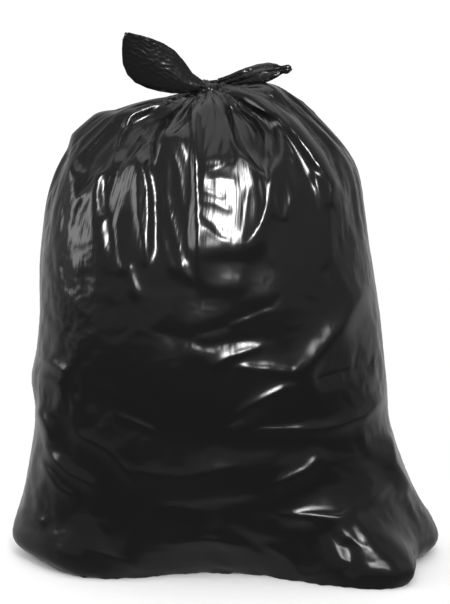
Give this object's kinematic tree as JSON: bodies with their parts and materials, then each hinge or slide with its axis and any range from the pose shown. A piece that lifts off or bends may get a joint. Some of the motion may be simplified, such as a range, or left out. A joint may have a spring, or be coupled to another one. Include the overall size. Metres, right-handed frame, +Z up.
{
  "type": "filled bin bag",
  "caption": "Filled refuse bag of thin black film standing upright, gathered at the neck in pleats and tied in a half knot with two ears.",
  "frame": {"origin": "on the floor, under the middle of the bag's outer box", "axes": "+Z up from the foot to the knot, -Y out of the front face, +X to the right from the taller ear to the curled ear"},
  "size_m": [0.6346, 0.3952, 0.7633],
  "materials": {
    "black_film": "glossy thin polyethylene film, wrinkled"
  },
  "bodies": {
    "root": {"tied_bin_bag": "black_film"}
  },
  "joints": []
}
